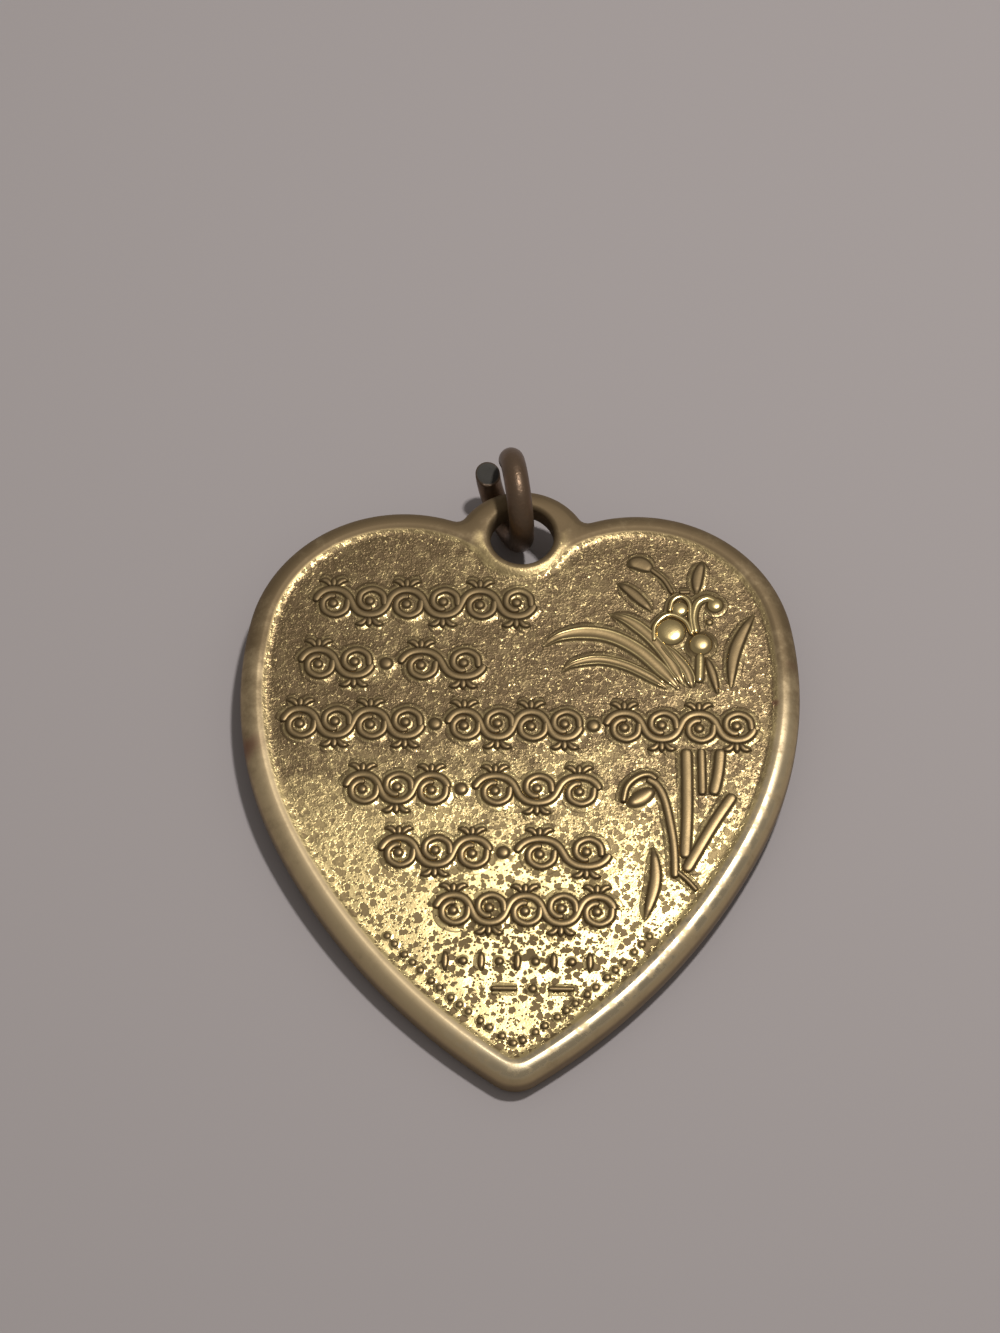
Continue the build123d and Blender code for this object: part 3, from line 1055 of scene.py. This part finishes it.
# The open ring is one length of round wire, bent by hand. Its upper half stands in one
# plane and its lower half was twisted aside, so that its cut ends pass each other. It is a
# redder metal than the charm, toned copper-brown, with dark grey ends, the last cut aslant.
ring_outer = 5.64
ring_wire = 1.33
ring_beyond_hole = 2.35
ring_height = 1.3
ring_yaw = 9
ring_bent_yaw = 26
ring_near_end = 25
ring_bent_end = -6
wire_circle = (ring_outer - ring_wire) / 2
wire_sides = 40
turn_step = 5
cut_slant = 20
cut_insets = [(0.1, 0.05), (0.2 * ring_wire, -0.025)]
ring_copper = (0.215, 0.138, 0.086, 1)
ring_brown = (0.1, 0.067, 0.043, 1)
ring_toning = 0.42
ring_pits = 0.35
ring_grain = 0.24
copper_metal = 0.9
brown_metal = 0.45
ring_rough = 0.3
ring_dulling = 0.16
cut_grey = (0.085, 0.078, 0.068, 1)
cut_dulling = 0.4


def ring_material():
    """Toned wire: patches of copper and brown, finely pitted, and dull grey where it was cut."""
    material, tree, shader = new_metal("ring_wire")
    colours = {"Bright": ring_copper, "Toned": ring_brown, "Amount": ring_toning}
    toned = add_node(tree, "ShaderNodeGroup", colours, node_tree=metal_toning)
    skin = {"Pits": ring_pits, "Grain": ring_grain}
    grained = add_node(tree, "ShaderNodeGroup", skin, node_tree=pitted_skin)
    cut = add_node(tree, "ShaderNodeAttribute", {}, attribute_name="cut_end").outputs["Fac"]
    colour = blended(tree, cut, toned.outputs["Color"], cut_grey)
    metal = ramped(tree, toned.outputs["Toning"], 0, 1, copper_metal, brown_metal)
    rough = reckoned(tree, "MULTIPLY_ADD", toned.outputs["Toning"], ring_dulling, ring_rough)
    rough = reckoned(tree, "MULTIPLY_ADD", cut, cut_dulling, rough)
    finish_shader(tree, shader, colour, metal, rough, grained.outputs["Height"])
    return material


def ring_plane(yaw):
    """The way up from the ring's foot to its top, and its axis, in a plane turned by a yaw."""
    way_up = Vector((-sin(radians(yaw)), cos(radians(yaw)), 0))
    axis = Vector((cos(radians(yaw)), sin(radians(yaw)), 0))
    return way_up, axis


def jump_ring():
    """Two spins of one circle of wire, each about its own half's middle."""
    bm = bmesh.new()
    cut_end = bm.verts.layers.float.new("cut_end")
    foot = Vector((0, hole_y + ring_beyond_hole - wire_circle, ring_height))
    way_up, axis = ring_plane(ring_yaw)
    middle = foot + way_up * wire_circle
    turn = Matrix.Rotation(radians(ring_near_end), 4, axis)
    start = Matrix.Translation(middle) @ turn @ Matrix.Translation(way_up * wire_circle)
    across = start @ axis.to_track_quat("X", "Z").to_matrix().to_4x4()
    circle = bmesh.ops.create_circle(bm, segments=wire_sides, radius=ring_wire / 2, matrix=across)["verts"]
    first_end = list(dict.fromkeys(edge for point in circle for edge in point.link_edges))
    upper_turn = 180 - ring_near_end
    spun = bmesh.ops.spin(bm, geom=circle + first_end, cent=middle, axis=axis, angle=radians(upper_turn),
                          steps=ceil(upper_turn / turn_step))
    bent_up, bent_axis = ring_plane(ring_bent_yaw)
    lower_turn = 180 + ring_bent_end
    spun = bmesh.ops.spin(bm, geom=spun["geom_last"], cent=foot + bent_up * wire_circle, axis=bent_axis,
                          angle=radians(lower_turn), steps=ceil(lower_turn / turn_step))
    last_end = [item for item in spun["geom_last"] if isinstance(item, bmesh.types.BMEdge)]
    cut_rim = list(dict.fromkeys(point for edge in last_end for point in edge.verts))
    cut_middle = sum((point.co for point in cut_rim), Vector()) / len(cut_rim)
    slant = Matrix.Rotation(radians(cut_slant), 3, bent_axis)
    bmesh.ops.rotate(bm, verts=cut_rim, cent=cut_middle, matrix=slant)
    caps = [bmesh.ops.edgeloop_fill(bm, edges=end)["faces"] for end in (first_end, last_end)]
    bmesh.ops.recalc_face_normals(bm, faces=bm.faces)
    for cap in caps:
        for inset, rise in cut_insets:
            bmesh.ops.inset_region(bm, faces=cap, thickness=inset, depth=rise)
            for point in {point for face in cap for point in face.verts}:
                point[cut_end] = 1
    return finish_piece(bm, "jump_ring_wire", ring_material(), "ring")


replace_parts(jump_ring(), "jump_ring")

# The table, the camera and the light. The charm leans a little on the table, because the ring
# lies under its lug. The table is plain grey card, lit by one soft lamp and a grey room.
lean = 2.6
floor_size = 3
floor_drop = 0.02
card_grey = (0.42, 0.375, 0.365, 1)
card_rough = 0.9
floor = bpy.data.meshes.new("table")
bm = bmesh.new()
bmesh.ops.create_grid(bm, x_segments=1, y_segments=1, size=floor_size / 2)
bmesh.ops.rotate(bm, verts=bm.verts, cent=(0, 0, 0), matrix=Matrix.Rotation(radians(-lean), 3, "X"))
bmesh.ops.translate(bm, verts=bm.verts, vec=(0, 0, (tip_bottom * sin(radians(lean)) - floor_drop) * metre))
bm.to_mesh(floor)
bm.free()
table = bpy.data.objects.new("table", floor)
bpy.context.scene.collection.objects.link(table)
card = bpy.data.materials.new("grey_card")
card.use_nodes = True
card.node_tree.nodes["Principled BSDF"].inputs["Base Color"].default_value = card_grey
card.node_tree.nodes["Principled BSDF"].inputs["Roughness"].default_value = card_rough
table.data.materials.append(card)

view_target = Vector((-1.07, 7.76, 0)) * metre
view_height = 62
view_turn = 0.8
view_distance = 0.205
lens_length = 105.2
sensor_width = 36
nearest_seen = 0.01


def towards(turn, height):
    """The direction to a lamp or camera: turn is anticlockwise from the south, seen from above."""
    level = cos(radians(height))
    return Vector((sin(radians(turn)) * level, -cos(radians(turn)) * level, sin(radians(height))))


def aim(thing, place, target):
    """Puts a lamp or camera at a place, looking at a target."""
    thing.location = place
    thing.rotation_euler = (target - place).to_track_quat("-Z", "Y").to_euler()
    bpy.context.scene.collection.objects.link(thing)


camera = bpy.data.objects.new("camera", bpy.data.cameras.new("camera"))
camera.data.lens = lens_length
camera.data.sensor_width = sensor_width
camera.data.clip_start = nearest_seen
aim(camera, view_target + towards(view_turn, view_height) * view_distance, view_target)
bpy.context.scene.camera = camera


def lamp(name, turn, height, distance, size, power):
    """A square soft lamp aimed at the charm."""
    light = bpy.data.lights.new(name, "AREA")
    light.size = size
    light.energy = power
    aim(bpy.data.objects.new(name, light), towards(turn, height) * distance, Vector((0, 0, 0)))


lamp("key_lamp", turn=142, height=69, distance=0.25, size=0.02, power=0.36)

horizon_grey = (0.26, 0.25, 0.24, 1)
ceiling_grey = (0.25, 0.245, 0.24, 1)
room = bpy.data.worlds.new("room")
room.use_nodes = True
way = add_node(room.node_tree, "ShaderNodeTexCoord", {}).outputs["Generated"]
up = add_node(room.node_tree, "ShaderNodeSeparateXYZ", {"Vector": way}).outputs["Z"]
light = blended(room.node_tree, ramped(room.node_tree, up, 0, 1), horizon_grey, ceiling_grey)
room.node_tree.links.new(light, room.node_tree.nodes["Background"].inputs["Color"])
bpy.context.scene.world = room
bpy.context.scene.view_settings.view_transform = "Standard"
